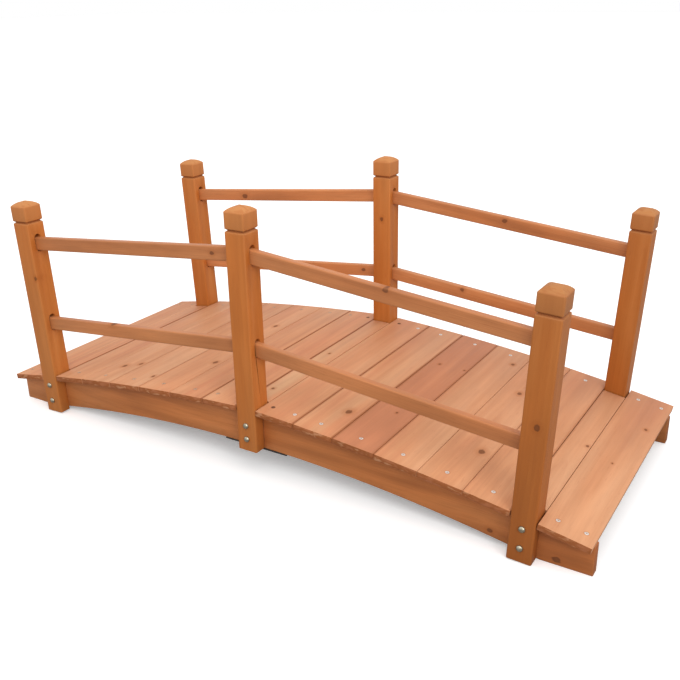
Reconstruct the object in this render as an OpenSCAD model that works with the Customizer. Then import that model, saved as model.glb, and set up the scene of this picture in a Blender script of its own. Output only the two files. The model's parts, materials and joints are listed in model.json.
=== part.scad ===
// Small arched garden bridge in stained softwood. Two arched side boards, each in two halves,
// carry six notched posts, a deck of flat planks and straight rails that sit in routed slots.

/* [Overall] */
// Length of the bridge along the ground
span = 1400; // [1300:10:1700]
// Width over the outer faces of the posts
width = 600; // [480:5:900]
// Height of the walking face at each end
end_height = 71; // [56:1:90]
// Rise of the walking face from the ends to the middle
deck_rise = 82; // [60:1:110]
// Bow of each half of the walking face over its straight line
half_bow = 13; // [6:0.5:14]

/* [Side boards] */
// Thickness of the arched side boards
stringer_t = 20; // [16:1:28]
// Clear height under the arch at the middle
arch_clear = 57; // [40:1:75]
// Length of each flat foot
foot_len = 93; // [50:1:110]
// Length of the steel strap under each halved joint
strap_len = 154; // [90:2:220]
// Thickness of the steel strap
strap_t = 3; // [2:0.5:5]

/* [Posts] */
// Side of the square posts
post_w = 46; // [38:1:60]
// Length of each post from foot to crown
post_len = 500; // [460:1:640]
// Distance from each end of the bridge to the foot of the end post
post_inset = 122; // [90:1:200]
// Outward lean of the end posts, in degrees
post_lean = 2.5; // [0:0.5:5]
// Length of the cap, from the middle of the V groove to the crown
cap_len = 45; // [36:1:60]
// Rise of the crown over the sides of the cap
crown_rise = 11; // [5:0.5:16]
// Rounding of the shoulders, where the crown meets the sides of the cap
crown_ease = 4; // [1:0.5:6]
// Width of the V groove
groove_w = 7.5; // [3:0.5:10]
// Depth of the V groove
groove_d = 5; // [2:0.5:6]
// Rounding of the long edges of the posts
post_ease = 3.5; // [1:0.5:5]

/* [Rails] */
// Thickness of the rails
rail_w = 15; // [12:1:22]
// Height of the rails
rail_h = 29; // [20:1:40]
// Rounding of the long edges of the rails
rail_ease = 3; // [1:0.5:5]
// Middle of the lower slot above the foot of the post
lower_slot = 221; // [180:1:280]
// Middle of the upper slot above the foot of the post
upper_slot = 408; // [330:1:415]
// Depth of the routed slots
slot_depth = 16; // [10:1:18]
// Extra height of the slots, which lets the sloping rails in
slot_room = 10; // [8:1:16]
// Room in the slot at each side of the rail
slot_side = 1.2; // [0.5:0.1:2]
// Room behind the end of each rail
slot_end = 1.5; // [0.5:0.5:4]

/* [Deck] */
// Thickness of the planks
plank_t = 12; // [10:0.5:18]
// Full planks between the middle posts and each pair of end posts
planks_per_bay = 6; // [4:1:8]
// Gap between planks
plank_gap = 1.6; // [1:0.1:4]
// Distance of the plank ends inside the outer faces of the posts
plank_setback = 1; // [0:1:20]
// Rounding of the upper edges of the planks
plank_ease = 1.2; // [0.5:0.1:3]
// Width of the bearers under the short planks
bearer_w = 40; // [30:1:60]
// Depth of the bearers
bearer_h = 36; // [24:1:40]

/* [Hidden] */
// Gap at every seat and halved joint
fit = 0.2;
// Overrun of cuts past the faces that they open
overrun = 1;
// Clearance of the end posts' lowest corners over the ground
foot_clear = 0.8;
// Share of a gap by which the short planks lie off their middle: left, middle, right
play_shares = [0.8, 0.3, 0];
small_fn = 32;
arc_fn = 1440;

half = span / 2;
post_reach = half - post_inset;
sides = [-1, 1];
ends = [-1, 1];
side_names = ["front", "", "back"];
end_names = ["left", "middle", "right"];

// Faces across the bridge: side boards flush with the inner faces of the posts
inner_y = width / 2 - post_w;
face_y = inner_y + stringer_t;
post_y = width / 2 - post_w / 2;

// Arc of the walking face over the right half, which meets the left one in a low peak, and the
// arcs of the side boards
deck_top = end_height + deck_rise;
deck_chord = norm([half, deck_rise]);
deck_r = deck_chord * deck_chord / (8 * half_bow) + half_bow / 2;
deck_cx = half / 2 - (deck_r - half_bow) * deck_rise / deck_chord;
deck_cz = end_height + deck_rise / 2 - (deck_r - half_bow) * half / deck_chord;
peak_turn = asin(-deck_cx / deck_r);
seat_r = deck_r - plank_t;
stringer_r = seat_r - fit;
arch_half = half - foot_len;
under_r = (arch_half * arch_half + arch_clear * arch_clear) / (2 * arch_clear);
under_cz = arch_clear - under_r;

// Foot of the end posts, lifted so that the leaning corner clears the ground
end_foot = post_w / 2 * sin(post_lean) + foot_clear;
groove_z = post_len - cap_len;
crown_r = (post_w * post_w / 4 + crown_rise * crown_rise) / (2 * crown_rise);
crown_z = post_len - crown_r;
shoulder_x = post_w / 2 - crown_ease;
shoulder_z = crown_z + sqrt(pow(crown_r - crown_ease, 2) - shoulder_x * shoulder_x);

// Round-ended slots, and the height at which an eased rail comes to rest in one
slot_w = rail_w + 2 * slot_side;
slot_h = rail_h + slot_room;
nest_r = slot_w / 2 - rail_ease;
nest_x = rail_w / 2 - rail_ease;
rail_rest = nest_r - sqrt(nest_r * nest_r - nest_x * nest_x) + fit;
rail_lift = rail_rest + rail_h / 2 - slot_h / 2;
tenon = slot_depth - slot_end;

// Where the axis of an end post crosses the walking face, as an angle and a length along the arc
post_guess_x = post_reach + (deck_z(post_reach) - end_foot) * tan(post_lean);
post_deck_x = post_reach + (deck_z(post_guess_x) - end_foot) * tan(post_lean);
post_turn = asin((post_deck_x - deck_cx) / deck_r);
post_tilt = post_turn - post_lean;
post_s = arc_length(post_turn);
end_s = arc_length(asin((half - deck_cx) / deck_r));

// Half the width that a leaning post takes up along the deck, and its drift through a plank
post_half = post_w / 2 / cos(post_tilt);
post_drift = plank_t * tan(post_tilt);
bay_start = post_w / 2 + plank_gap;
bay_end = post_s - post_half - plank_gap;
plank_w = (bay_end - bay_start - (planks_per_bay - 1) * plank_gap) / planks_per_bay;
plank_len = width - 2 * plank_setback;
short_plank_len = 2 * (inner_y - plank_gap);

stained_wood = "#b5703f";
deck_wood = "#d2956b";
dark_steel = "#2e2b29";

function post_name(k, s) = str("post_", side_names[s + 1], "_", end_names[k + 1]);
function stringer_name(k, s) = str("stringer_", side_names[s + 1], "_", end_names[k + 1]);
function strap_name(s) = str("strap_", side_names[s + 1]);
function bearer_name(k) = str("bearer_", end_names[k + 1]);
function rail_name(k, s, level) =
    str("rail_", side_names[s + 1], "_", end_names[k + 1], level > 0 ? "_upper" : "_lower");
function short_plank_name(k) = str("plank_post_", end_names[k + 1]);
function end_plank_name(k) = str("plank_end_", end_names[k + 1]);
function plank_name(k, i) = str("plank_", end_names[k + 1], "_", i);

// Height of the walking face over a place along the bridge
function deck_z(x) = deck_cz + sqrt(deck_r * deck_r - pow(abs(x) - deck_cx, 2));
// Height of the underside of the arch over a place along the bridge
function under_z(x) = under_cz + sqrt(under_r * under_r - x * x);
// Length along the walking face from the peak for an angle, and the angle for a length
function arc_length(turn) = deck_r * (turn - peak_turn) * PI / 180;
function arc_turn(s) = peak_turn + s / deck_r * 180 / PI;
// Middle of a plank from one edge to another, measured along the walking face
function middle(from, to) = (from + to) / 2;

// Post built on the back, mirrored to the front; half built on the right, mirrored to the left
module on_side(s) {
    mirror([0, s < 0 ? 1 : 0, 0]) children();
}

module on_end(k) {
    mirror([k < 0 ? 1 : 0, 0, 0]) children();
}

// Rectangle with rounded corners
module eased_outline(w, h, r) {
    square([w - 2 * r, h], center = true);
    square([w, h - 2 * r], center = true);
    for (x = ends, y = ends)
        translate([x * (w / 2 - r), y * (h / 2 - r)]) circle(r = r, $fn = small_fn);
}

// Side view of a post: arched crown that runs into the sides over rounded shoulders
module crown_outline() {
    reach_x = 2 * shoulder_x;
    reach_z = crown_z + 2 * (shoulder_z - crown_z);
    translate([-post_w / 2, 0]) square([post_w, shoulder_z]);
    for (e = ends)
        translate([e * shoulder_x, shoulder_z]) circle(r = crown_ease, $fn = small_fn);
    intersection() {
        translate([0, crown_z]) circle(r = crown_r, $fn = 4 * small_fn);
        polygon([[0, crown_z], [reach_x, reach_z], [0, crown_z + 2 * crown_r], [-reach_x, reach_z]]);
    }
}

// Barrel that rounds the crown in one direction
module crown_barrel() {
    rotate([90, 0, 0]) linear_extrude(2 * post_w, center = true) crown_outline();
}

// V groove across one face of the post
module groove_cut() {
    mouth = groove_w / 2 * (groove_d + overrun) / groove_d;
    translate([post_w / 2, 0, groove_z]) rotate([90, 0, 0])
        linear_extrude(2 * post_w, center = true)
            polygon([[overrun, mouth], [-groove_d, 0], [overrun, -mouth]]);
}

// Round-ended slot for a rail, cut inwards from the face at x = 0
module slot_cut() {
    straight = slot_h - slot_w;
    rotate([90, 0, 90]) linear_extrude(2 * slot_depth, center = true) {
        square([slot_w, straight], center = true);
        for (e = ends)
            translate([0, e * straight / 2]) circle(d = slot_w, $fn = small_fn);
    }
}

// Blank of a post: eased square, crowned top, V groove on all four faces
module post_blank() {
    difference() {
        intersection() {
            linear_extrude(post_len) eased_outline(post_w, post_w, post_ease);
            crown_barrel();
            rotate(90) crown_barrel();
        }
        for (turn = [0:90:270]) rotate(turn) groove_cut();
    }
}

// Side view of the space under the arcs of both halves
module under_arcs(r) {
    intersection() {
        translate([deck_cx, deck_cz]) circle(r = r, $fn = arc_fn);
        translate([-deck_cx, deck_cz]) circle(r = r, $fn = arc_fn);
    }
}

// Housing in the inner half of the post, arched to sit on the side board
module stringer_housing() {
    depth = stringer_t + fit + overrun;
    translate([0, face_y + fit, 0]) rotate([90, 0, 0])
        linear_extrude(depth) under_arcs(stringer_r + fit);
}

// Post at the left, middle or right (k = -1, 0, 1), with slots on the faces that take rails
module post(k, s) {
    slot_faces = k == 0 ? ends : [-k];
    foot = k == 0 ? arch_clear : end_foot;
    color(stained_wood) on_side(s) difference() {
        translate([k * post_reach, post_y, foot]) rotate([0, k * post_lean, 0]) difference() {
            post_blank();
            for (x = slot_faces, z = [lower_slot, upper_slot])
                translate([x * post_w / 2, 0, z]) slot_cut();
        }
        stringer_housing();
    }
}

// Outline of half a side board: arched above and below, with a flat foot and a plumb end
module stringer_outline() {
    lap = post_w / 2;
    difference() {
        intersection() {
            under_arcs(stringer_r);
            translate([-lap, 0]) square([half + lap, deck_top]);
        }
        translate([0, under_cz]) circle(r = under_r, $fn = arc_fn);
    }
}

// Half of a side board, halved where it meets the other half behind the middle post
module stringer(k, s) {
    lap_cut_y = k > 0 ? inner_y + stringer_t / 2 - fit / 2 : inner_y - overrun;
    lap_cut_t = stringer_t / 2 + fit / 2 + overrun;
    lap_cut_x = post_w + fit + overrun;
    color(stained_wood) on_side(s) on_end(k) difference() {
        translate([0, face_y, 0]) rotate([90, 0, 0]) linear_extrude(stringer_t) stringer_outline();
        translate([-post_w / 2 - overrun, lap_cut_y, 0]) cube([lap_cut_x, lap_cut_t, deck_top]);
    }
}

// Flat steel strap under the halved joint
module strap(s) {
    top = under_z(strap_len / 2) - fit;
    color(dark_steel) on_side(s)
        translate([-strap_len / 2, inner_y, top - strap_t]) cube([strap_len, stringer_t, strap_t]);
}

// Piece laid along the arc of the left or right half (k = -1, 1), or level on the peak (k = 0)
module on_arc(k, turn, r) {
    from = k == 0 ? [0, 0, deck_top - deck_r] : [k * deck_cx, 0, deck_cz];
    translate(from) rotate([0, k * turn, 0]) translate([0, 0, r]) children();
}

// Bearer between the side boards that carries the short plank between a pair of posts
module bearer(k) {
    length = 2 * (inner_y - fit);
    color(stained_wood) on_arc(k, post_turn, seat_r - fit)
        translate([-bearer_w / 2, -length / 2, -bearer_h]) cube([bearer_w, length, bearer_h]);
}

// Straight rail from the middle post down to an end post, resting in both slots
module rail(k, s, level) {
    slot_z = level > 0 ? upper_slot : lower_slot;
    from = [post_w / 2, arch_clear + slot_z];
    to = [
        post_reach - post_w / 2 * cos(post_lean) + slot_z * sin(post_lean),
        end_foot + post_w / 2 * sin(post_lean) + slot_z * cos(post_lean)
    ];
    slope = atan2(from[1] - to[1], to[0] - from[0]);
    tip_lift = tenon * tan(max(0, slope - post_lean));
    rise = from[1] - to[1] - tip_lift;
    length = norm([to[0] - from[0], rise]);
    color(stained_wood) on_side(s) on_end(k)
        translate([from[0], post_y, from[1] + rail_lift])
            rotate([0, atan2(rise, to[0] - from[0]), 0])
                translate([-tenon, 0, 0]) rotate([90, 0, 90])
                    linear_extrude(length + 2 * tenon) eased_outline(rail_w, rail_h, rail_ease);
}

// Flat plank with eased upper edges, centred at a length along the walking face from the peak
module plank(k, s, w, length) {
    flat_w = w - 2 * plank_ease;
    color(deck_wood) on_arc(k, arc_turn(s), seat_r) rotate([90, 0, 0])
        linear_extrude(length, center = true) {
            translate([-w / 2, 0]) square([w, plank_t - plank_ease]);
            translate([-flat_w / 2, 0]) square([flat_w, plank_t]);
            for (e = ends)
                translate([e * flat_w / 2, plank_t - plank_ease])
                    circle(r = plank_ease, $fn = small_fn);
        }
}

// Full plank of a bay, counted outwards from the middle posts
module bay_plank(k, i) {
    plank(k, bay_start + (i - 1) * (plank_w + plank_gap) + plank_w / 2, plank_w, plank_len);
}

// Short plank that fits between a pair of posts
module short_plank(k) {
    from = k == 0 ? -post_w / 2 : post_s - post_half;
    to = k == 0 ? post_w / 2 : post_s + post_half + post_drift;
    play = play_shares[k + 1] * plank_gap;
    translate([k == 0 ? play : 0, 0, 0])
        plank(k, middle(from, to) + play, to - from, short_plank_len);
}

// Plank at the end of the deck, outside the end posts
module end_plank(k) {
    from = post_s + post_half + post_drift + plank_gap;
    plank(k, middle(from, end_s), end_s - from, plank_len);
}

for (s = sides, k = [-1:1])
    post(k, s);
for (s = sides, k = ends)
    stringer(k, s);
for (s = sides)
    strap(s);
for (k = [-1:1])
    bearer(k);
for (s = sides, k = ends, level = [0, 1])
    rail(k, s, level);
for (k = [-1:1])
    short_plank(k);
for (k = ends)
    end_plank(k);
for (k = ends, i = [1:planks_per_bay])
    bay_plank(k, i);
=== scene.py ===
import json
import math
import random

import bpy
from mathutils import Matrix, Vector

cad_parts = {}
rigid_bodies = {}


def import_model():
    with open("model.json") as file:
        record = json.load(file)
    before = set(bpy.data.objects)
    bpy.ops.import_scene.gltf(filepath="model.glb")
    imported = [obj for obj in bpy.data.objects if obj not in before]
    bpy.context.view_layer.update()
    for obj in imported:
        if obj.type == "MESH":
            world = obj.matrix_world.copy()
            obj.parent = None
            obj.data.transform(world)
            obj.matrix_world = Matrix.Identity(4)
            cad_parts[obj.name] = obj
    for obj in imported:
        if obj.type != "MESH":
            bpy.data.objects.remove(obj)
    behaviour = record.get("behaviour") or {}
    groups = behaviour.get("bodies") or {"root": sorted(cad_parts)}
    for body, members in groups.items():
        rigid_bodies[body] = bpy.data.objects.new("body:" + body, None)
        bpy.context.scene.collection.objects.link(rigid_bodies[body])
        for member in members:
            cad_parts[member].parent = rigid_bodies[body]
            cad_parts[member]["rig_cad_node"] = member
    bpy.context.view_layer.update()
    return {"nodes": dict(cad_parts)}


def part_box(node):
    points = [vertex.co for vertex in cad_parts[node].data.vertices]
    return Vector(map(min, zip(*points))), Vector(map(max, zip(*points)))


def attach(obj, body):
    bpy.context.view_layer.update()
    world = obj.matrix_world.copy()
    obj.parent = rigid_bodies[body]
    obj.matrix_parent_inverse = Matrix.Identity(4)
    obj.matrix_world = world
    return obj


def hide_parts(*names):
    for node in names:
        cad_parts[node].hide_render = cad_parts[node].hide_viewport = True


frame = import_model()
print("frame loaded with", len(frame["nodes"]), "nodes")


# selecting and finishing

squareOn = 0.9  # a face looks along an axis when its normal has this much of it


def deselectAll():
    if bpy.context.object and bpy.context.object.mode != "OBJECT":
        bpy.ops.object.mode_set(mode="OBJECT")
    bpy.ops.object.select_all(action="DESELECT")


def pick(obj):
    deselectAll()
    obj.select_set(True)
    bpy.context.view_layer.objects.active = obj
    return obj


def selectFaces(obj, test):  # leaves the piece in edit mode with only these faces selected
    pick(obj)
    bpy.ops.object.mode_set(mode="EDIT")
    bpy.ops.mesh.select_mode(type="FACE")
    bpy.ops.mesh.select_all(action="DESELECT")
    bpy.ops.object.mode_set(mode="OBJECT")
    for face in obj.data.polygons:
        face.select = test(face)
    bpy.ops.object.mode_set(mode="EDIT")


def looksUp(face):
    return face.normal.z > squareOn


def applyModifiers(obj):
    pick(obj)
    for modifier in list(obj.modifiers):
        bpy.ops.object.modifier_apply(modifier=modifier.name)


def copyOf(obj, name):
    pick(obj)
    bpy.ops.object.duplicate()
    made = bpy.context.object
    made.name = name
    made.data.name = name
    return made


def placed(obj, place, turn):  # turns and moves a piece and keeps its place in its mesh
    pick(obj)
    obj.matrix_world = Matrix.Translation(place) @ turn.to_4x4()
    bpy.ops.object.transform_apply(location=True, rotation=True, scale=True)
    return obj


def turnTo(way):  # turns what stands on +Z so that it points that way
    return Vector((0, 0, 1)).rotation_difference(way).to_matrix()


def smoothed(obj, degrees):
    pick(obj)
    bpy.ops.object.shade_smooth_by_angle(angle=math.radians(degrees))
    return obj


def disc(sides, radius, depth, bottom):  # a round or many-sided block that stands on a height
    deselectAll()
    bpy.ops.mesh.primitive_cylinder_add(vertices=sides, radius=radius, depth=depth,
                                        location=(0, 0, bottom + depth / 2))
    bpy.ops.object.transform_apply(location=True, rotation=True, scale=True)
    return bpy.context.object


def joined(pieces, name):
    deselectAll()
    for piece in pieces:
        piece.select_set(True)
    bpy.context.view_layer.objects.active = pieces[0]
    bpy.ops.object.join()
    made = bpy.context.object
    made.name = name
    made.data.name = name
    return made


def dress(obj, material):
    obj.data.materials.clear()
    obj.data.materials.append(material)
    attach(obj, "root")
    return obj


def nodesOf(kind):
    return sorted(node for node in frame["nodes"] if node.startswith(kind))


# where each CAD piece lies: its middle, its grain direction and its half sizes

def meanNormal(node, axis):  # area-weighted normal of the faces that look along +axis
    total = Vector()
    for face in frame["nodes"][node].data.polygons:
        if face.normal[axis] > squareOn:
            total += face.normal * face.area
    return total.normalized()


def pieceFrame(node, along, up):
    across = up.cross(along)
    axes = (along, across, up)
    points = [vertex.co for vertex in frame["nodes"][node].data.vertices]
    reach = [[point.dot(axis) for point in points] for axis in axes]
    middle = Vector()
    for axis, values in zip(axes, reach):
        middle += axis * (max(values) + min(values)) / 2
    half = [(max(values) - min(values)) / 2 for values in reach]
    return {"node": node, "middle": middle, "axes": axes, "half": half}


def crossFrame(node):  # planks and bearers, with the grain across the bridge
    return pieceFrame(node, Vector((0, 1, 0)), meanNormal(node, 2))


def railFrame(node):
    up = meanNormal(node, 2)
    return pieceFrame(node, Vector((up.z, 0, -up.x)), up)


def postFrame(node):
    side = meanNormal(node, 0)
    return pieceFrame(node, Vector((-side.z, 0, side.x)), Vector((0, 1, 0)))


def boardFrame(node):
    return pieceFrame(node, Vector((1, 0, 0)), Vector((0, 1, 0)))


def localPlace(piece, place):
    away = Vector(place) - piece["middle"]
    return Vector([away.dot(axis) for axis in piece["axes"]])


# shader nodes by hand

def add(tree, kind, inputs=(), **settings):  # inputs in order, each a value, a socket or None
    made = tree.nodes.new("ShaderNode" + kind)
    for key, value in settings.items():
        setattr(made, key, value)
    for socket, value in zip(made.inputs, inputs):
        if isinstance(value, bpy.types.NodeSocket):
            tree.links.new(value, socket)
        elif value is not None:
            socket.default_value = value
    return made


def sums(tree, operation, a, b=None, c=None):
    return add(tree, "Math", [a, b, c], operation=operation).outputs[0]


def vectors(tree, operation, a, b=None):
    return add(tree, "VectorMath", [a, b], operation=operation).outputs[0]


def length(tree, vector):
    return add(tree, "VectorMath", [vector], operation="LENGTH").outputs["Value"]


def scaled(tree, vector, amount):
    made = add(tree, "VectorMath", [vector], operation="SCALE")
    if isinstance(amount, bpy.types.NodeSocket):
        tree.links.new(amount, made.inputs["Scale"])
    else:
        made.inputs["Scale"].default_value = amount
    return made.outputs[0]


def remap(tree, value, low, high, toLow, toHigh, ease="SMOOTHSTEP"):
    made = add(tree, "MapRange", [value, low, high, toLow, toHigh], interpolation_type=ease)
    return made.outputs[0]


def mixColor(tree, share, a, b, blend="MIX"):
    made = add(tree, "Mix", data_type="RGBA", blend_type=blend)
    for socket, value in ((made.inputs[0], share), (made.inputs[6], a), (made.inputs[7], b)):
        if isinstance(value, bpy.types.NodeSocket):
            tree.links.new(value, socket)
        else:
            socket.default_value = value
    return made.outputs[2]


def noise(tree, vector, stretch, shift, detail, output="Fac"):
    moved = vectors(tree, "ADD", vectors(tree, "MULTIPLY", vector, stretch), shift)
    made = add(tree, "TexNoise", [moved])
    made.inputs["Scale"].default_value = 1
    made.inputs["Detail"].default_value = detail
    return made.outputs[output]


def wander(tree, vector, stretch, shift, reach):  # a noise that moves points to either side
    spread = noise(tree, vector, stretch, shift, 2, "Color")
    return scaled(tree, vectors(tree, "SUBTRACT", spread, (0.5, 0.5, 0.5)), reach)


def roughen(tree, shader, height, strength, distance):
    bump = add(tree, "Bump")
    bump.inputs["Strength"].default_value = strength
    bump.inputs["Distance"].default_value = distance
    tree.links.new(height, bump.inputs["Height"])
    tree.links.new(bump.outputs["Normal"], shader.inputs["Normal"])


# camera, floor and light

cameraSet = {
    "place": (0.9785, -1.5029, 0.9195),
    "yaw": 32.0504,
    "pitch": 22.0863,
    "roll": -1.0466,
    "lens": 45.7484,
    "sensor": 36,
}


def makeCamera(s):
    bpy.ops.object.camera_add(location=s["place"])
    camera = bpy.context.object
    camera.name = "photoCamera"
    turn = Matrix.Rotation(math.radians(s["yaw"]), 4, "Z")
    turn = turn @ Matrix.Rotation(math.radians(90 - s["pitch"]), 4, "X")
    turn = turn @ Matrix.Rotation(math.radians(s["roll"]), 4, "Z")
    camera.rotation_euler = turn.to_euler()
    camera.data.lens = s["lens"]
    camera.data.sensor_width = s["sensor"]
    bpy.context.scene.camera = camera


floorSet = {
    "side": 60,
    "paper": (0.90, 0.90, 0.90, 1),
    "glow": 0.29,  # lifts the paper towards white for the camera alone
    "bounce": (0.33, 0.325, 0.32, 1),  # what the paper throws back on the bridge
    "roughness": 0.9,
    "specular": 0.1,
}
lightSet = {
    "zenith": (1.16, 1.16, 1.16, 1),
    "horizon": (0.92, 0.92, 0.92, 1),
    "backdrop": (1.0, 1.0, 1.0, 1),
    "keyPlace": (2, -2, 3),
    "keyTurn": 57,  # from the front towards the right end
    "keyHeight": 27,
    "keyStrength": 0.55,
    "keySpread": 20,
    "boxPlace": (1.15, -1.45, 2.05),  # a wide soft box over the front
    "boxAim": (0.2, -0.1, 0.1),
    "boxSide": 1.7,
    "boxPower": 17,
}


def makeFloor(s):
    bpy.ops.mesh.primitive_plane_add(size=s["side"], location=(0, 0, 0))
    floor = bpy.context.object
    floor.name = "studioFloor"
    paper = bpy.data.materials.new("studioPaper")
    paper.use_nodes = True
    tree = paper.node_tree
    shader = tree.nodes["Principled BSDF"]
    seen = add(tree, "LightPath").outputs["Is Camera Ray"]
    tree.links.new(mixColor(tree, seen, s["bounce"], s["paper"]), shader.inputs["Base Color"])
    shader.inputs["Emission Color"].default_value = s["paper"]
    tree.links.new(sums(tree, "MULTIPLY", seen, s["glow"]), shader.inputs["Emission Strength"])
    shader.inputs["Roughness"].default_value = s["roughness"]
    shader.inputs["Specular IOR Level"].default_value = s["specular"]
    floor.data.materials.append(paper)


def makeLight(s):
    world = bpy.data.worlds.new("studioSky")
    world.use_nodes = True
    tree = world.node_tree
    sky = tree.nodes["Background"]
    way = add(tree, "SeparateXYZ", [add(tree, "TexCoord").outputs["Generated"]]).outputs["Z"]
    tint = mixColor(tree, remap(tree, way, 0, 1, 0, 1, "LINEAR"), s["horizon"], s["zenith"])
    seen = add(tree, "LightPath").outputs["Is Camera Ray"]
    tree.links.new(mixColor(tree, seen, tint, s["backdrop"]), sky.inputs["Color"])
    bpy.context.scene.world = world
    bpy.ops.object.light_add(type="SUN", location=s["keyPlace"])
    key = bpy.context.object
    key.name = "softKey"
    key.data.energy = s["keyStrength"]
    key.data.angle = math.radians(s["keySpread"])
    turn = Matrix.Rotation(math.radians(s["keyTurn"]), 4, "Z")
    turn = turn @ Matrix.Rotation(math.radians(90 - s["keyHeight"]), 4, "X")
    key.rotation_euler = turn.to_euler()
    bpy.ops.object.light_add(type="AREA", location=s["boxPlace"])
    box = bpy.context.object
    box.name = "softBox"
    box.data.energy = s["boxPower"]
    box.data.size = s["boxSide"]
    aim = Vector(s["boxAim"]) - Vector(s["boxPlace"])
    box.rotation_euler = aim.to_track_quat("-Z", "Y").to_euler()
    bpy.context.scene.view_settings.view_transform = "Standard"


makeCamera(cameraSet)
makeFloor(floorSet)
makeLight(lightSet)
print("camera, floor and light ready")


# stained fir: a solid wood with growth rings round a pith, so faces, edges and ends agree

ringSet = {
    "width": 0.0036,
    "widthSpread": (0.8, 1.25),
    "taper": 0.011,  # how fast the log narrows along its length
    "taperSpread": (0.5, 1.4),
    "pithDepth": 0.05,
    "pithSpread": (0.7, 1.3),
    "pithAside": 0.7,  # share of the half width
    "drift": 0.016,  # slow bends of the log
    "driftStretch": (1.5, 9, 9),
    "waver": 0.0016,  # quick bends of the fibres
    "waverStretch": (7, 48, 48),
    "unevenPace": 0.27,  # good and bad years
    "unevenReach": 2.6,
    "season": ((0.42, 0.12), (0.72, 0.55), (0.88, 1.0), (0.96, 0.9)),  # spring wood to summer wood
    "faintest": 0.3,
}
knotSet = {  # reaches are in radii of the knot
    "stretch": 1.35,  # along the grain
    "ragged": 0.9,
    "raggedStretch": (130, 190, 190),
    "bulge": 2.4,  # how far the rings are pushed aside
    "bulgeReach": (0.3, 4.0),
    "heartReach": (0.45, 1.25),
    "rimPlace": 0.85,
    "rimHalf": 0.45,
    "haloReach": (0.9, 3.4),
    "heart": (0.145, 0.042, 0.012, 1),
    "heartShare": 0.75,
    "rim": (0.070, 0.020, 0.006, 1),
    "rimShare": 0.5,
    "haloShare": 0.45,
    "dull": 0.35,  # knots are duller than the wood round them
    "dip": 0.5,
}
grainSet = {  # stretch along the grain, across the face and through the thickness, then detail
    "fibre": ((22, 1500, 1500), 2),
    "streak": ((2.2, 75, 75), 4),
    "blotch": ((2.4, 12, 12), 2),
    "fleck": ((38, 420, 420), 2),
    "patch": ((6, 32, 32), 3),
    "torn": ((90, 45, 130), 3),
}
firSet = {
    "blotchShare": 0.7,  # what the hue follows
    "streakShare": 0.3,
    "hueReach": (0.32, 0.68),
    "lean": 0.5,  # how far a pale or red piece leans to its side
    "bandSway": (0.3, 0.7, 0.5),  # from and to in the blotches, then share of the half width
    "bandEdge": (0.5, 1.3),
    "fleckReach": (0.62, 0.76),
    "lightness": (("streak", 0.05, 0.25, 0.75), ("fibre", 0.05, 0.2, 0.8), ("patch", 0.075, 0.28, 0.72)),
    "screwShadeReach": 1.7,  # in radii of the screw
    "screwShadeShare": 0.5,
    "endFacing": (0.55, 0.85),  # how squarely a face looks along the grain
    "tornDark": (0.52, 0.34, 0, 0.7),
    "tornPale": (0.53, 0.68, 0, 0.6),
    "edgeSway": (0.3, 0.7, -0.001, 0.003),
    "edgeReach": (0.0006, 0.004),
    # seam: the dark brown of the painted shade in the gaps between planks and in the groove under the caps
    "seam": (0.300, 0.085, 0.022, 1),
    "seamStart": 0.0008,
    "seamWidth": 0.0026,
    "seamSpread": 0.003,  # more width for a full share
    "tipDepth": 0.045,  # from the top of a cap to the groove
    "tipReach": (1.25, 0.75),
    "grooveReach": (0.0008, 0.0042),
    "grooveShare": 0.75,
    "fibreReach": (0.2, 0.8),
    "endRough": 0.25,
    "ringGloss": 0.06,
    "ringRelief": 0.3,
    "fibreRelief": 0.5,
    "streakRelief": 0.5,
    "tornRelief": 2.0,
    "relief": 0.3,
    "reliefDepth": 0.0006,
}
stains = {
    "deck": {
        # the deck's tones are paler than the stain alone: partly the stain, partly a painted sheen of the
        # sky on the walking face
        "red": (0.545, 0.206, 0.096), "early": (0.585, 0.260, 0.122), "pale": (0.615, 0.308, 0.160),
        "late": (0.430, 0.155, 0.068), "worn": (0.640, 0.330, 0.180), "end": (0.315, 0.095, 0.026),
        "sap": (0.590, 0.340, 0.180),
        "ringShare": 0.18, "fleckShare": 0.35, "wornShare": 0.08, "tipShare": 0,
        "contrast": 1.0, "rough": (0.52, 0.66), "specular": 0.26,
    },
    "post": {
        "red": (0.460, 0.130, 0.022), "early": (0.490, 0.149, 0.027), "pale": (0.520, 0.180, 0.042),
        # the post's end tone is paler than its sides: painted light and sheen on the cap tops, which face
        # the sky
        "late": (0.390, 0.102, 0.016), "worn": (0.540, 0.220, 0.075), "end": (0.540, 0.225, 0.070),
        "ringShare": 0.20, "fleckShare": 0.30, "wornShare": 0.14, "tipShare": 0.45,
        "contrast": 1.0, "rough": (0.42, 0.56), "specular": 0.28,
    },
    "rail": {
        "red": (0.455, 0.152, 0.047), "early": (0.480, 0.173, 0.057), "pale": (0.510, 0.200, 0.072),
        "late": (0.390, 0.120, 0.034), "worn": (0.560, 0.240, 0.095), "end": (0.380, 0.120, 0.034),
        "ringShare": 0.40, "fleckShare": 0.50, "wornShare": 0.14, "tipShare": 0,
        "contrast": 1.9, "rough": (0.42, 0.56), "specular": 0.42,
    },
    "board": {
        "red": (0.460, 0.145, 0.038), "early": (0.490, 0.165, 0.046), "pale": (0.520, 0.190, 0.060),
        "late": (0.390, 0.115, 0.028), "worn": (0.540, 0.215, 0.075), "end": (0.330, 0.100, 0.028),
        "ringShare": 0.32, "fleckShare": 0.40, "wornShare": 0.14, "tipShare": 0,
        "contrast": 1.8, "rough": (0.42, 0.56), "specular": 0.38,
    },
}


def shadedTones(stain, shade):
    tones = dict(stains[stain])
    for name, color in tones.items():
        if isinstance(color, tuple) and len(color) == 3:
            tones[name] = (color[0] * shade, color[1] * shade, color[2] * shade, 1)
    return tones


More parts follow.
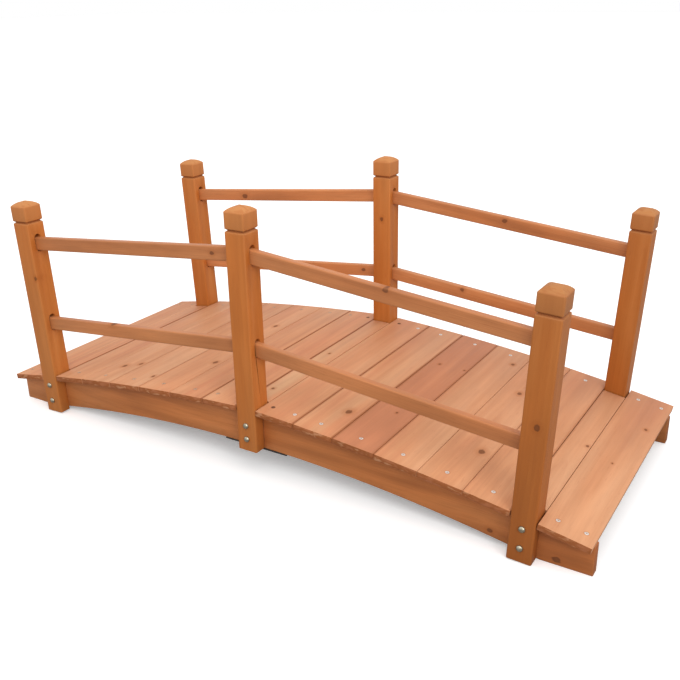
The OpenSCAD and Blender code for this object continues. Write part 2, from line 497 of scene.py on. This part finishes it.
def growthRings(tree, piece, local, u, shift, chance, bulge):  # 0 in spring wood, 1 in summer wood
    s = ringSet
    aside = chance.uniform(-s["pithAside"], s["pithAside"]) * piece["half"][1]
    pith = Vector((0, aside, -s["pithDepth"] * chance.uniform(*s["pithSpread"])))
    bends = vectors(tree, "ADD", wander(tree, local, s["driftStretch"], shift, s["drift"]),
                    wander(tree, local, s["waverStretch"], shift, s["waver"]))
    section = vectors(tree, "ADD", vectors(tree, "SUBTRACT", local, pith), bends)
    radius = length(tree, vectors(tree, "MULTIPLY", section, (0, 1, 1)))
    taper = chance.choice((-1, 1)) * s["taper"] * chance.uniform(*s["taperSpread"])
    radius = sums(tree, "SUBTRACT", radius, sums(tree, "MULTIPLY", u, taper))
    if bulge:
        radius = sums(tree, "ADD", radius, bulge)
    count = sums(tree, "DIVIDE", radius, s["width"] * chance.uniform(*s["widthSpread"]))
    uneven = add(tree, "TexNoise", noise_dimensions="1D")
    tree.links.new(sums(tree, "MULTIPLY", count, s["unevenPace"]), uneven.inputs["W"])
    uneven.inputs["Scale"].default_value = 1
    uneven.inputs["Detail"].default_value = 1
    count = sums(tree, "ADD", count, sums(tree, "MULTIPLY", uneven.outputs["Fac"], s["unevenReach"]))
    season = add(tree, "ValToRGB", [sums(tree, "FRACT", count)])
    ramp = season.color_ramp
    for place, value in s["season"]:
        stop = ramp.elements.new(place)
        stop.color = (value, value, value, 1)
    ramp.elements[0].color = (0, 0, 0, 1)
    ramp.elements[-1].color = (0, 0, 0, 1)
    year = add(tree, "TexWhiteNoise", noise_dimensions="1D")
    tree.links.new(sums(tree, "FLOOR", count), year.inputs["W"])
    strength = remap(tree, year.outputs["Value"], 0, 1, s["faintest"], 1, "LINEAR")
    return sums(tree, "MULTIPLY", season.outputs["Color"], strength)


def knotMasks(tree, local, shift, knots):  # how far rings bend, then the heart, rim and halo
    s = knotSet
    bulge, heart, rim, halo = 0, 0, 0, 0
    ragged = wander(tree, local, s["raggedStretch"], shift, s["ragged"])
    for place, radius, squash in knots:
        flat = [1 if value else 0 for value in squash]
        offset = vectors(tree, "MULTIPLY", vectors(tree, "SUBTRACT", local, place),
                         [value / radius for value in squash])
        away = length(tree, vectors(tree, "ADD", offset, vectors(tree, "MULTIPLY", ragged, flat)))
        pushed = remap(tree, away, *s["bulgeReach"], s["bulge"] * radius, 0, "SMOOTHERSTEP")
        bulge = sums(tree, "ADD", bulge, pushed)
        heart = sums(tree, "MAXIMUM", heart, remap(tree, away, *s["heartReach"], 1, 0))
        ring = sums(tree, "ABSOLUTE", sums(tree, "SUBTRACT", away, s["rimPlace"]))
        rim = sums(tree, "MAXIMUM", rim, remap(tree, ring, 0, s["rimHalf"], 1, 0))
        halo = sums(tree, "MAXIMUM", halo, remap(tree, away, *s["haloReach"], 1, 0))
    return bulge, heart, rim, halo


def tinted(tree, color, mask, share, tint):
    return mixColor(tree, sums(tree, "MULTIPLY", mask, share), color, tint)


def raised(tree, height, mask, amount):
    return sums(tree, "ADD", height, sums(tree, "MULTIPLY", mask, amount))


def stainedFir(piece, stain, knots=(), screwShades=(), bands=(), seams=(), pale=0.5, shade=1.0, paintedShade=None):
    s = firSet
    tone = shadedTones(stain, shade)
    chance = random.Random(piece["node"])
    mat = bpy.data.materials.new(piece["node"] + "_fir")
    mat.use_nodes = True
    tree = mat.node_tree
    shader = tree.nodes["Principled BSDF"]

    # the piece's own coordinates: along the grain, across the face, through the thickness
    mapping = add(tree, "Mapping", [add(tree, "TexCoord").outputs["Object"]], vector_type="TEXTURE")
    mapping.inputs["Location"].default_value = piece["middle"]
    mapping.inputs["Rotation"].default_value = Matrix(piece["axes"]).transposed().to_euler()
    local = mapping.outputs[0]
    u, v, w = add(tree, "SeparateXYZ", [local]).outputs
    shift = Vector([chance.uniform(-40, 40) for axis in range(3)])
    bulge, heart, rim, halo = knotMasks(tree, local, shift, knots) if knots else (0, 0, 0, 0)
    ring = growthRings(tree, piece, local, u, shift, chance, bulge)
    grain = {}
    for name, (stretch, detail) in grainSet.items():
        grain[name] = noise(tree, local, stretch, shift, detail)

    # colour wanders in soft bands along the grain, from salmon to straw
    mood = sums(tree, "ADD", sums(tree, "MULTIPLY", grain["blotch"], s["blotchShare"]),
                sums(tree, "MULTIPLY", grain["streak"], s["streakShare"]))
    lean = s["lean"] * (pale - 0.5)
    hue = add(tree, "ValToRGB", [remap(tree, mood, *s["hueReach"], lean, 1 + lean, "LINEAR")])
    middle = hue.color_ramp.elements.new(0.5)
    middle.color = tone["early"]
    hue.color_ramp.elements[0].color = tone["red"]
    hue.color_ramp.elements[-1].color = tone["pale"]
    color = hue.outputs["Color"]
    for offset, half, share in bands:
        low, high, sway = s["bandSway"]
        inner, outer = s["bandEdge"]
        swing = remap(tree, grain["blotch"], low, high, -half * sway, half * sway, "LINEAR")
        wavy = sums(tree, "ADD", v, swing)
        away = sums(tree, "ABSOLUTE", sums(tree, "SUBTRACT", wavy, offset))
        color = mixColor(tree, remap(tree, away, half * inner, half * outer, share, 0), color, tone["sap"])
    if paintedShade:  # painted shade, darker towards one end
        start, stop, share = paintedShade
        color = mixColor(tree, remap(tree, u, start, stop, 0, share), color, tone["late"])
    color = tinted(tree, color, ring, tone["ringShare"], tone["late"])
    flecks = remap(tree, grain["fleck"], *s["fleckReach"], 0, tone["fleckShare"])
    color = mixColor(tree, flecks, color, tone["late"])
    value = 1
    for name, share, low, high in s["lightness"]:
        share *= tone["contrast"]
        change = remap(tree, grain[name], low, high, 1 - share, 1 + share, "LINEAR")
        value = sums(tree, "MULTIPLY", value, change)
    color = scaled(tree, color, value)

    # knots, painted shade round the screw heads, and sawn ends
    if knots:
        color = tinted(tree, color, halo, knotSet["haloShare"], tone["late"])
        color = tinted(tree, color, heart, knotSet["heartShare"], knotSet["heart"])
        color = tinted(tree, color, rim, knotSet["rimShare"], knotSet["rim"])
    # a darker ring round each screw head, painted shade of its countersink
    for place, reach in screwShades:
        offset = vectors(tree, "SUBTRACT", local, place)
        away = length(tree, vectors(tree, "MULTIPLY", offset, (1, 1, 0)))
        screwShade = remap(tree, away, reach, reach * s["screwShadeReach"], s["screwShadeShare"], 0)
        color = mixColor(tree, screwShade, color, tone["late"])
    normal = add(tree, "NewGeometry").outputs["Normal"]
    facing = add(tree, "VectorMath", [normal, piece["axes"][0]], operation="DOT_PRODUCT").outputs["Value"]
    end = remap(tree, sums(tree, "ABSOLUTE", facing), *s["endFacing"], 0, 1)
    sawn = mixColor(tree, remap(tree, grain["torn"], *s["tornDark"]), tone["end"], tone["late"])
    sawn = mixColor(tree, remap(tree, grain["torn"], *s["tornPale"]), sawn, tone["pale"])
    color = mixColor(tree, end, color, sawn)

    # painted shade gathers along the seams between planks, and stain wears off the edges
    halfWidth = piece["half"][1]
    sides = (sums(tree, "SUBTRACT", halfWidth, v), sums(tree, "ADD", halfWidth, v))
    for share, gap in zip(seams, sides):
        if share:
            width = s["seamWidth"] + s["seamSpread"] * share
            color = mixColor(tree, remap(tree, gap, s["seamStart"], width, share, 0), color, s["seam"])
    gaps = [sums(tree, "SUBTRACT", half, sums(tree, "ABSOLUTE", axis))
            for half, axis in zip(piece["half"], (u, v, w))]
    nearer = sums(tree, "MINIMUM", gaps[1], gaps[2])
    further = sums(tree, "MAXIMUM", gaps[1], gaps[2])
    edge = sums(tree, "MAXIMUM", nearer, sums(tree, "MINIMUM", further, gaps[0]))
    edge = sums(tree, "ADD", edge, remap(tree, grain["streak"], *s["edgeSway"], "LINEAR"))
    worn = sums(tree, "MULTIPLY", remap(tree, edge, *s["edgeReach"], tone["wornShare"], 0),
                sums(tree, "SUBTRACT", 1, end))
    top = piece["half"][0]
    if tone["tipShare"]:  # the caps are made paler than the posts below
        low, high = [top - s["tipDepth"] * reach for reach in s["tipReach"]]
        worn = sums(tree, "MAXIMUM", worn, remap(tree, u, low, high, 0, tone["tipShare"]))
    color = mixColor(tree, worn, color, tone["worn"])
    if tone["tipShare"]:  # and the groove under them is painted dark, a painted shade in the recess
        away = sums(tree, "ABSOLUTE", sums(tree, "SUBTRACT", u, top - s["tipDepth"]))
        groove = remap(tree, away, *s["grooveReach"], s["grooveShare"], 0)
        color = mixColor(tree, groove, color, s["seam"])
    tree.links.new(color, shader.inputs["Base Color"])

    # gloss and relief
    rough = remap(tree, grain["fibre"], *s["fibreReach"], *tone["rough"], "LINEAR")
    rough = raised(tree, rough, end, s["endRough"])
    rough = sums(tree, "SUBTRACT", rough, sums(tree, "MULTIPLY", ring, s["ringGloss"]))
    if knots:
        rough = raised(tree, rough, halo, knotSet["dull"])
    tree.links.new(rough, shader.inputs["Roughness"])
    shader.inputs["Specular IOR Level"].default_value = tone["specular"]
    height = sums(tree, "MULTIPLY", ring, s["ringRelief"])
    height = raised(tree, height, grain["fibre"], s["fibreRelief"])
    height = raised(tree, height, grain["streak"], s["streakRelief"])
    height = raised(tree, height, sums(tree, "MULTIPLY", grain["torn"], end), s["tornRelief"])
    if knots:
        height = sums(tree, "SUBTRACT", height, sums(tree, "MULTIPLY", rim, knotSet["dip"]))
    roughen(tree, shader, height, s["relief"], s["reliefDepth"])
    return mat


def faceKnot(piece, place, radius, depth=0):  # a knot that runs into the thickness, or right through it
    through = radius / depth if depth else 0
    return (localPlace(piece, place), radius, (1 / knotSet["stretch"], 1, through))


def edgeKnot(piece, place, radius):  # a knot that runs across the piece
    return (localPlace(piece, place), radius, (1 / knotSet["stretch"], 0, 1))


# CAD pieces with their sharp edges taken off

softSet = {
    "mergeBelow": 0.00001,
    "flatWithin": 0.5,  # degrees between faces that count as one
    "easeOver": 28,  # degrees at an edge that is taken off
    "smoothUnder": 35,
}


def softened(node, name, width, segments):
    s = softSet
    made = copyOf(frame["nodes"][node], name)
    del made["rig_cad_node"]
    pick(made)
    bpy.ops.object.mode_set(mode="EDIT")
    bpy.ops.mesh.select_all(action="SELECT")
    bpy.ops.mesh.remove_doubles(threshold=s["mergeBelow"])
    bpy.ops.mesh.dissolve_limited(angle_limit=math.radians(s["flatWithin"]))
    bpy.ops.object.mode_set(mode="OBJECT")
    ease = made.modifiers.new("ease", "BEVEL")
    ease.width = width
    ease.segments = segments
    ease.limit_method = "ANGLE"
    ease.angle_limit = math.radians(s["easeOver"])
    ease.use_clamp_overlap = False
    applyModifiers(made)
    smoothed(made, s["smoothUnder"])
    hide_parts(node)
    return made


# deck planks

deckSet = {
    "ease": 0.0007,
    "edgeShare": 0.8,  # faces past this share of the half width move with an edge
    "pale": {  # 0.5 is plain, less is redder and more is nearer to straw; the paler planks from plank_right_4 to the end also carry a painted sheen besides their own tone
        "plank_left_6": 0.8, "plank_left_5": 0.8, "plank_left_4": 0.8, "plank_post_middle": 0.9,
        "plank_right_2": 0.9, "plank_right_3": -1.3, "plank_right_4": 0.7, "plank_right_5": 0.9,
        "plank_right_6": 0.7, "plank_post_right": 1.2, "plank_end_right": 0.9,
    },
    "shade": {
        "plank_end_left": 1.03, "plank_post_left": 1.03, "plank_left_3": 1.04, "plank_left_1": 1.05,
        "plank_post_middle": 1.04, "plank_right_1": 1.02, "plank_right_3": 0.90, "plank_right_4": 0.97,
    },
    "paintedShade": {  # start, stop and share of painted shade, darker towards the back
        "left": (-0.25, 0.25, 0.15), "middle": (-0.20, 0.20, 0.45), "right": (-0.25, 0.25, 0.35),
    },
    "bands": {  # straw-coloured sapwood: offset, half width, share
        "plank_post_middle": [(0.005, 0.018, 0.65)], "plank_right_1": [(0.040, 0.005, 0.3)],
        "plank_right_2": [(-0.010, 0.012, 0.3)],
    },
    "trims": {  # how far the edge nearer to the middle and the outer edge are drawn back, so gaps vary
        "plank_post_middle": (0.0003, -0.0002), "plank_right_1": (-0.0001, -0.0003),
        "plank_right_2": (-0.0003, -0.0003), "plank_right_3": (-0.0003, -0.0004),
        "plank_right_4": (-0.0004, -0.0005), "plank_right_5": (-0.0005, -0.0005),
        "plank_right_6": (-0.0005, -0.0003), "plank_post_right": (-0.0003, -0.0004),
        "plank_end_right": (-0.0004, 0),
        "plank_left_1": (0.0004, 0.0002), "plank_left_2": (0.0002, -0.0002),
        "plank_left_3": (-0.0002, 0), "plank_left_5": (0, -0.0004),
        "plank_left_6": (-0.0004, 0.0004), "plank_post_left": (0.0004, -0.0001),
    },
    "seams": {  # how much painted shade darkens the left and the right edge, beside the gaps
        "plank_post_left": (0, 0.7), "plank_left_6": (0.7, 0), "plank_left_5": (0, 0.2),
        "plank_left_4": (0.2, 0.25), "plank_left_3": (0.25, 0.1), "plank_left_2": (0.1, 0.6),
        "plank_left_1": (0.6, 0.8), "plank_post_middle": (0.8, 0), "plank_right_1": (0, 0.68),
        "plank_right_2": (0.68, 0.78), "plank_right_3": (0.78, 0.58), "plank_right_4": (0.58, 0.05),
        "plank_right_5": (0.05, 0.25), "plank_right_6": (0.25, 0.5), "plank_post_right": (0.5, 0.08),
        "plank_end_right": (0.08, 0),
    },
    "knots": {  # along the bridge, across it, radius
        "plank_right_2": [(0.176, -0.193, 0.0056)],
        "plank_right_3": [(0.254, -0.138, 0.0022), (0.226, 0.117, 0.0025), (0.284, 0.123, 0.0018)],
        "plank_right_5": [(0.447, -0.162, 0.0058), (0.420, 0.103, 0.0045)],
        "plank_right_4": [(0.358, 0.224, 0.0036)],
        "plank_left_3": [(-0.218, -0.125, 0.0048), (-0.234, 0.131, 0.0042)],
        "plank_left_5": [(-0.425, -0.205, 0.0046), (-0.392, -0.185, 0.0040)],
        "plank_left_4": [(-0.302, -0.240, 0.0035)],
        "plank_end_right": [(0.676, 0.150, 0.0030), (0.655, -0.024, 0.0018)],
        "plank_post_right": [(0.600, 0.000, 0.0028)],
        "plank_post_middle": [(-0.005, -0.198, 0.0030), (-0.002, 0.017, 0.0024)],
    },
}
screwSet = {
    "row": 0.266,  # from the middle of the deck to each row of screws
    "radius": 0.0040,
    "thickness": 0.0012,
    "rim": 0.0005,
    "slotLength": 0.0046,
    "slotWidth": 0.0010,
    "slotDepth": 0.0009,
    "twoOn": {"plank_left_1": (-0.024, 0.028), "plank_right_1": (-0.028, 0.024),
              "plank_end_left": (-0.023, 0.027), "plank_end_right": (-0.027, 0.023)},
    "sink": 0.12,  # share of the thickness below the deck
    "darkWithin": 0.045,  # the screws nearest to the middle of the bridge are painted dark brown, as painted shade of their sunk heads
    "sides": 24,
    "smooth": 30,
    "strapPlaces": (-0.062, -0.036, 0.036, 0.062),
}


def screwPlaces(node):
    if node.startswith("plank_post"):
        return []
    piece = crossFrame(node)
    along, across, up = piece["axes"]
    places = []
    for side in (-1, 1):
        for offset in screwSet["twoOn"].get(node, (0,)):
            spot = piece["middle"] + up * piece["half"][2] + across * offset
            spot.y = side * screwSet["row"]
            places.append((spot, up))
    return places


def trimmed(plank, piece, trims):
    outer = Vector((-1 if "left" in piece["node"] else 1, 0, 0))
    middle, nearEdge = piece["middle"].x, piece["half"][1] * deckSet["edgeShare"]
    for trim, way in zip(trims, (-outer, outer)):
        if trim:
            selectFaces(plank, lambda face: (face.center.x - middle) * way.x > nearEdge)
            bpy.ops.transform.translate(value=-way * trim)
            bpy.ops.object.mode_set(mode="OBJECT")


def makeDeck(s):
    for node in nodesOf("plank"):
        piece = crossFrame(node)
        knots = [faceKnot(piece, (x, y, piece["middle"].z), r) for x, y, r in s["knots"].get(node, ())]
        screwShades = [(localPlace(piece, spot), screwSet["radius"]) for spot, up in screwPlaces(node)]
        third = next(word for word in s["paintedShade"] if word in node)
        wood = stainedFir(piece, "deck", knots, screwShades, s["bands"].get(node, ()), s["seams"].get(node, ()),
                          s["pale"].get(node, 0.5), s["shade"].get(node, 1.0), s["paintedShade"][third])
        plank = dress(softened(node, "board_" + node, s["ease"], 2), wood)
        trimmed(plank, piece, s["trims"].get(node, (0, 0)))


makeDeck(deckSet)
print("deck laid")


# posts, rails, side boards and bearers

postSet = {
    "ease": 0.0005,
    "knotDepth": 0.012,
    # the front right post is darkened as painted shade against the soft box's light on its upper front;
    # the back right post is set darker as well
    "shade": {"post_front_right": 0.79, "post_back_right": 0.85},
    "pale": {"post_front_left": 1.2, "post_front_right": 0.3, "post_back_left": 0.8},
    "knots": {  # place on the outer or inner face, radius
        "post_front_left": [((-0.5735, -0.300, 0.3327), 0.0032)],
        "post_front_right": [((0.5931, -0.300, 0.2645), 0.0045)],
        "post_back_middle": [((0.0013, 0.255, 0.4121), 0.0036)],
        "post_back_left": [((-0.6028, 0.255, 0.1086), 0.0026)],
    },
}
railSet = {
    "ease": 0.0003,
    "pale": (0.3, 0.7),
    "shade": {"rail_back_left_upper": 1.15, "rail_back_left_lower": 1.15},
    "knots": {
        "rail_back_left_upper": [((-0.4163, 0.270, 0.4213), 0.0056)],
        "rail_front_right_upper": [((0.3077, -0.285, 0.4455), 0.0040)],
        "rail_back_right_upper": [((0.3025, 0.270, 0.4401), 0.0044)],
        "rail_back_right_lower": [((0.2074, 0.270, 0.2646), 0.0036)],
        "rail_back_left_lower": [((-0.0586, 0.270, 0.2737), 0.0038)],
        "rail_front_left_upper": [((-0.0691, -0.285, 0.4581), 0.0034)],
        "rail_front_left_lower": [((-0.3650, -0.285, 0.2600), 0.0055)],
    },
}
boardSet = {
    "ease": 0.0015,
    "pale": {"stringer_front_left": 0.9},
    # stringer_back_right is darkened as painted shade, for the back board lying in shadow
    "shade": {"stringer_front_left": 1.02, "stringer_back_right": 0.78},
    "paintedShade": {"stringer_front_right": (0.22, 0.30, 0.7)},  # painted shade, darker towards the right end under the end plank and beside the post
    "knots": {
        "stringer_front_right": [((0.6367, -0.275, 0.0111), 0.0052), ((0.5142, -0.275, 0.0281), 0.0038)],
    },
}


def makePosts(s):
    for node in nodesOf("post"):
        piece = postFrame(node)
        knots = [faceKnot(piece, place, r, s["knotDepth"]) for place, r in s["knots"].get(node, ())]
        wood = stainedFir(piece, "post", knots, pale=s["pale"].get(node, 0.5),
                          shade=s["shade"].get(node, 1.0))
        dress(softened(node, "timber_" + node, s["ease"], 2), wood)


def makeRails(s):
    for node in nodesOf("rail"):
        piece = railFrame(node)
        knots = [edgeKnot(piece, place, r) for place, r in s["knots"].get(node, ())]
        pale = random.Random(node).uniform(*s["pale"])
        wood = stainedFir(piece, "rail", knots, pale=pale, shade=s["shade"].get(node, 1.0))
        dress(softened(node, "bar_" + node, s["ease"], 1), wood)


def makeBoards(s):
    for node in nodesOf("stringer"):
        piece = boardFrame(node)
        knots = [faceKnot(piece, place, r) for place, r in s["knots"].get(node, ())]
        wood = stainedFir(piece, "board", knots, pale=s["pale"].get(node, 0.5),
                          shade=s["shade"].get(node, 1.0), paintedShade=s["paintedShade"].get(node))
        dress(softened(node, "board_" + node, s["ease"], 2), wood)
    for node in nodesOf("bearer"):
        wood = stainedFir(crossFrame(node), "board")
        dress(softened(node, "beam_" + node, s["ease"], 2), wood)


makePosts(postSet)
makeRails(railSet)
makeBoards(boardSet)
print("posts, rails and side boards dressed")


# steel

steelSet = {
    "cloudShift": (3, 1, 7),
    "cloudReach": (0.35, 0.7),
    "gritShift": (5, 9, 2),
    "gritReach": (0.3, 0.7),
    "relief": 0.2,
    "reliefDepth": 0.0001,
}
zincGrit = (3200, 500, 500)  # fine brushing
coatGrit = (900, 900, 900)
finishes = {
    "bright_zinc": {
        "bright": (0.52, 0.48, 0.38, 1), "dull": (0.34, 0.30, 0.21, 1), "rough": (0.20, 0.34),
        "metallic": 1, "specular": 0.5, "cloud": 260, "grit": zincGrit,
    },
    # dim_zinc: a duller, orange-tinted zinc for the screws on the left half; pale_zinc for those on the
    # right half
    "dim_zinc": {
        "bright": (0.58, 0.41, 0.29, 1), "dull": (0.46, 0.30, 0.20, 1), "rough": (0.45, 0.60),
        "metallic": 1, "specular": 0.5, "cloud": 260, "grit": zincGrit,
    },
    "pale_zinc": {
        "bright": (0.80, 0.78, 0.74, 1), "dull": (0.62, 0.59, 0.54, 1), "rough": (0.25, 0.40),
        "metallic": 1, "specular": 0.5, "cloud": 260, "grit": zincGrit,
    },
    "black_coated_steel": {
        "bright": (0.040, 0.033, 0.029, 1), "dull": (0.016, 0.015, 0.015, 1), "rough": (0.42, 0.66),
        "metallic": 0, "specular": 0.5, "cloud": 60, "grit": coatGrit,
    },
    # sunk_screw_shade: painted shade, a dark brown for screw heads that sit sunk in shadow
    "sunk_screw_shade": {
        "bright": (0.150, 0.068, 0.036, 1), "dull": (0.090, 0.040, 0.021, 1), "rough": (0.55, 0.75),
        "metallic": 0, "specular": 0.12, "cloud": 260, "grit": coatGrit,
    },
}


def steel(name):
    s, finish = steelSet, finishes[name]
    mat = bpy.data.materials.new(name)
    mat.use_nodes = True
    tree = mat.node_tree
    shader = tree.nodes["Principled BSDF"]
    place = add(tree, "TexCoord").outputs["Object"]
    cloud = noise(tree, place, [finish["cloud"]] * 3, s["cloudShift"], 3)
    grit = noise(tree, place, finish["grit"], s["gritShift"], 2)
    color = mixColor(tree, remap(tree, cloud, *s["cloudReach"], 0, 1), finish["bright"], finish["dull"])
    tree.links.new(color, shader.inputs["Base Color"])
    rough = remap(tree, grit, *s["gritReach"], *finish["rough"], "LINEAR")
    tree.links.new(rough, shader.inputs["Roughness"])
    shader.inputs["Metallic"].default_value = finish["metallic"]
    shader.inputs["Specular IOR Level"].default_value = finish["specular"]
    roughen(tree, shader, grit, s["relief"], s["reliefDepth"])
    return mat


boltZinc = steel("bright_zinc")
dimZinc = steel("dim_zinc")
screwZinc = steel("pale_zinc")
blackCoat = steel("black_coated_steel")
sunkScrewShade = steel("sunk_screw_shade")
strapSet = {"ease": 0.0006}
for node in nodesOf("strap"):
    dress(softened(node, "steel_" + node, strapSet["ease"], 2), blackCoat)


# deck screws: low heads with a cross recess

def makeScrewHead(s):
    head = disc(s["sides"], s["radius"], s["thickness"], -s["thickness"] / 2)
    selectFaces(head, looksUp)
    bpy.ops.mesh.bevel(offset=s["rim"], segments=2)
    bpy.ops.object.mode_set(mode="OBJECT")
    deselectAll()
    bpy.ops.mesh.primitive_cube_add(size=1, location=(0, 0, s["thickness"] / 2))
    cutter = bpy.context.object
    cutter.scale = (s["slotLength"], s["slotWidth"], 2 * s["slotDepth"])
    bpy.ops.object.transform_apply(location=True, rotation=True, scale=True)
    other = copyOf(cutter, "crossArm")
    placed(other, Vector(), Matrix.Rotation(math.radians(90), 3, "Z"))
    for tool in (cutter, other):
        cut = head.modifiers.new("recess", "BOOLEAN")
        cut.operation = "DIFFERENCE"
        cut.object = tool
    applyModifiers(head)
    bpy.data.objects.remove(cutter)
    bpy.data.objects.remove(other)
    return head


def screwRow(head, places, name, material, chance):
    screws = []
    for spot, up in places:
        turn = turnTo(up) @ Matrix.Rotation(chance.uniform(0, math.pi), 3, "Z")
        screws.append(placed(copyOf(head, "screw"), spot, turn))
    dress(smoothed(joined(screws, name), screwSet["smooth"]), material)


def makeScrews(s):
    head = makeScrewHead(s)
    chance = random.Random(11)
    for side, way in (("front", -1), ("back", 1)):
        clean, stained, dark = [], [], []
        for node in nodesOf("plank"):
            for spot, up in screwPlaces(node):
                if spot.y * way > 0:
                    row = clean if spot.x > 0 else stained
                    if abs(spot.x) < s["darkWithin"]:
                        row = dark
                    row.append((spot - up * s["thickness"] * s["sink"], up))
        screwRow(head, clean, "deck_screws_right_" + side, screwZinc, chance)
        screwRow(head, stained, "deck_screws_left_" + side, dimZinc, chance)
        screwRow(head, dark, "dark_deck_screws_" + side, sunkScrewShade, chance)
        low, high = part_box("strap_" + side)
        middle, down = (low[1] + high[1]) / 2, Vector((0, 0, -1))
        under = [(Vector((x, middle, low[2])), down) for x in s["strapPlaces"]]
        screwRow(head, under, "strap_screws_" + side, blackCoat, chance)
    bpy.data.objects.remove(head)


makeScrews(screwSet)
print("deck screwed down")


# bolts through the posts: domed heads outside, a washer and nut inside on the lower one

boltSet = {
    "radius": 0.0064,
    "flange": 0.0008,
    "rise": 0.0048,
    "steps": 6,
    "domeTurn": 84,  # degrees, so a small flat is left on top
    "sides": 32,
    "smooth": 40,
    "endHeights": (0.0285, 0.0675),  # up the post from its foot
    "middleHeights": (0.0265, 0.0565),
}
nutSet = {
    "flats": 0.010,
    "sides": 6,
    "height": 0.0050,
    "ease": 0.0006,
    "washerRadius": 0.0065,
    "washerThickness": 0.0012,
    "washerSides": 24,
    "stubRadius": 0.0030,
    "stubSides": 20,
    "stubRings": 4,
    "stubPitch": 0.0010,
    "stubRoot": 0.84,  # thread root to thread crest
    "smooth": 30,
}


def makeBoltHead(s):
    head = disc(s["sides"], s["radius"], s["flange"], 0)
    selectFaces(head, looksUp)
    before = 0
    for step in range(1, s["steps"] + 1):
        angle = math.radians(s["domeTurn"]) * step / s["steps"]
        rise = s["rise"] * (math.sin(angle) - math.sin(before))
        shrink = math.cos(angle) / math.cos(before)
        bpy.ops.mesh.extrude_region_move(TRANSFORM_OT_translate={"value": (0, 0, rise)})
        bpy.ops.transform.resize(value=(shrink, shrink, 1), center_override=(0, 0, 0))
        before = angle
    return smoothed(head, s["smooth"])


def makeNut(s):  # washer, six-sided nut and the threaded end of the bolt, standing on z 0
    thick = s["washerThickness"]
    washer = disc(s["washerSides"], s["washerRadius"], thick, 0)
    selectFaces(washer, looksUp)
    bpy.ops.mesh.bevel(offset=s["ease"] / 2, segments=2)
    corner = s["flats"] / 2 / math.cos(math.pi / s["sides"])
    nut = disc(s["sides"], corner, s["height"], thick)
    selectFaces(nut, looksUp)
    bpy.ops.mesh.bevel(offset=s["ease"], segments=2)
    top = thick + s["height"]
    stub = disc(s["stubSides"], s["stubRadius"], s["stubPitch"], top - s["stubPitch"] / 2)
    selectFaces(stub, looksUp)
    step = {"value": (0, 0, s["stubPitch"] / 2)}
    for turn in range(s["stubRings"]):
        for grow in (s["stubRoot"], 1 / s["stubRoot"]):
            bpy.ops.mesh.extrude_region_move(TRANSFORM_OT_translate=step)
            bpy.ops.transform.resize(value=(grow, grow, 1), center_override=(0, 0, 0))
    return smoothed(joined([washer, nut, stub], "nutSet"), s["smooth"])


def makeBolts(s):
    head = makeBoltHead(s)
    nut = makeNut(nutSet)
    chance = random.Random(23)
    for node in nodesOf("post"):
        piece = postFrame(node)
        along = piece["axes"][0]
        out = Vector((0, -1 if "front" in node else 1, 0))
        foot = piece["middle"] - along * piece["half"][0]
        heights = s["middleHeights"] if node.endswith("middle") else s["endHeights"]
        inward = turnTo(-out) @ Matrix.Rotation(chance.uniform(0, math.pi), 3, "Z")
        toFace = out * piece["half"][2]
        pieces = []
        for height in heights:
            outside = foot + along * height + toFace
            pieces.append(placed(copyOf(head, "postBolt"), outside, turnTo(out)))
        inside = foot + along * heights[0] - toFace
        pieces.append(placed(copyOf(nut, "postNut"), inside, inward))
        dress(joined(pieces, "bolts_" + node), boltZinc)
    bpy.data.objects.remove(head)
    bpy.data.objects.remove(nut)


makeBolts(boltSet)
print("posts bolted")
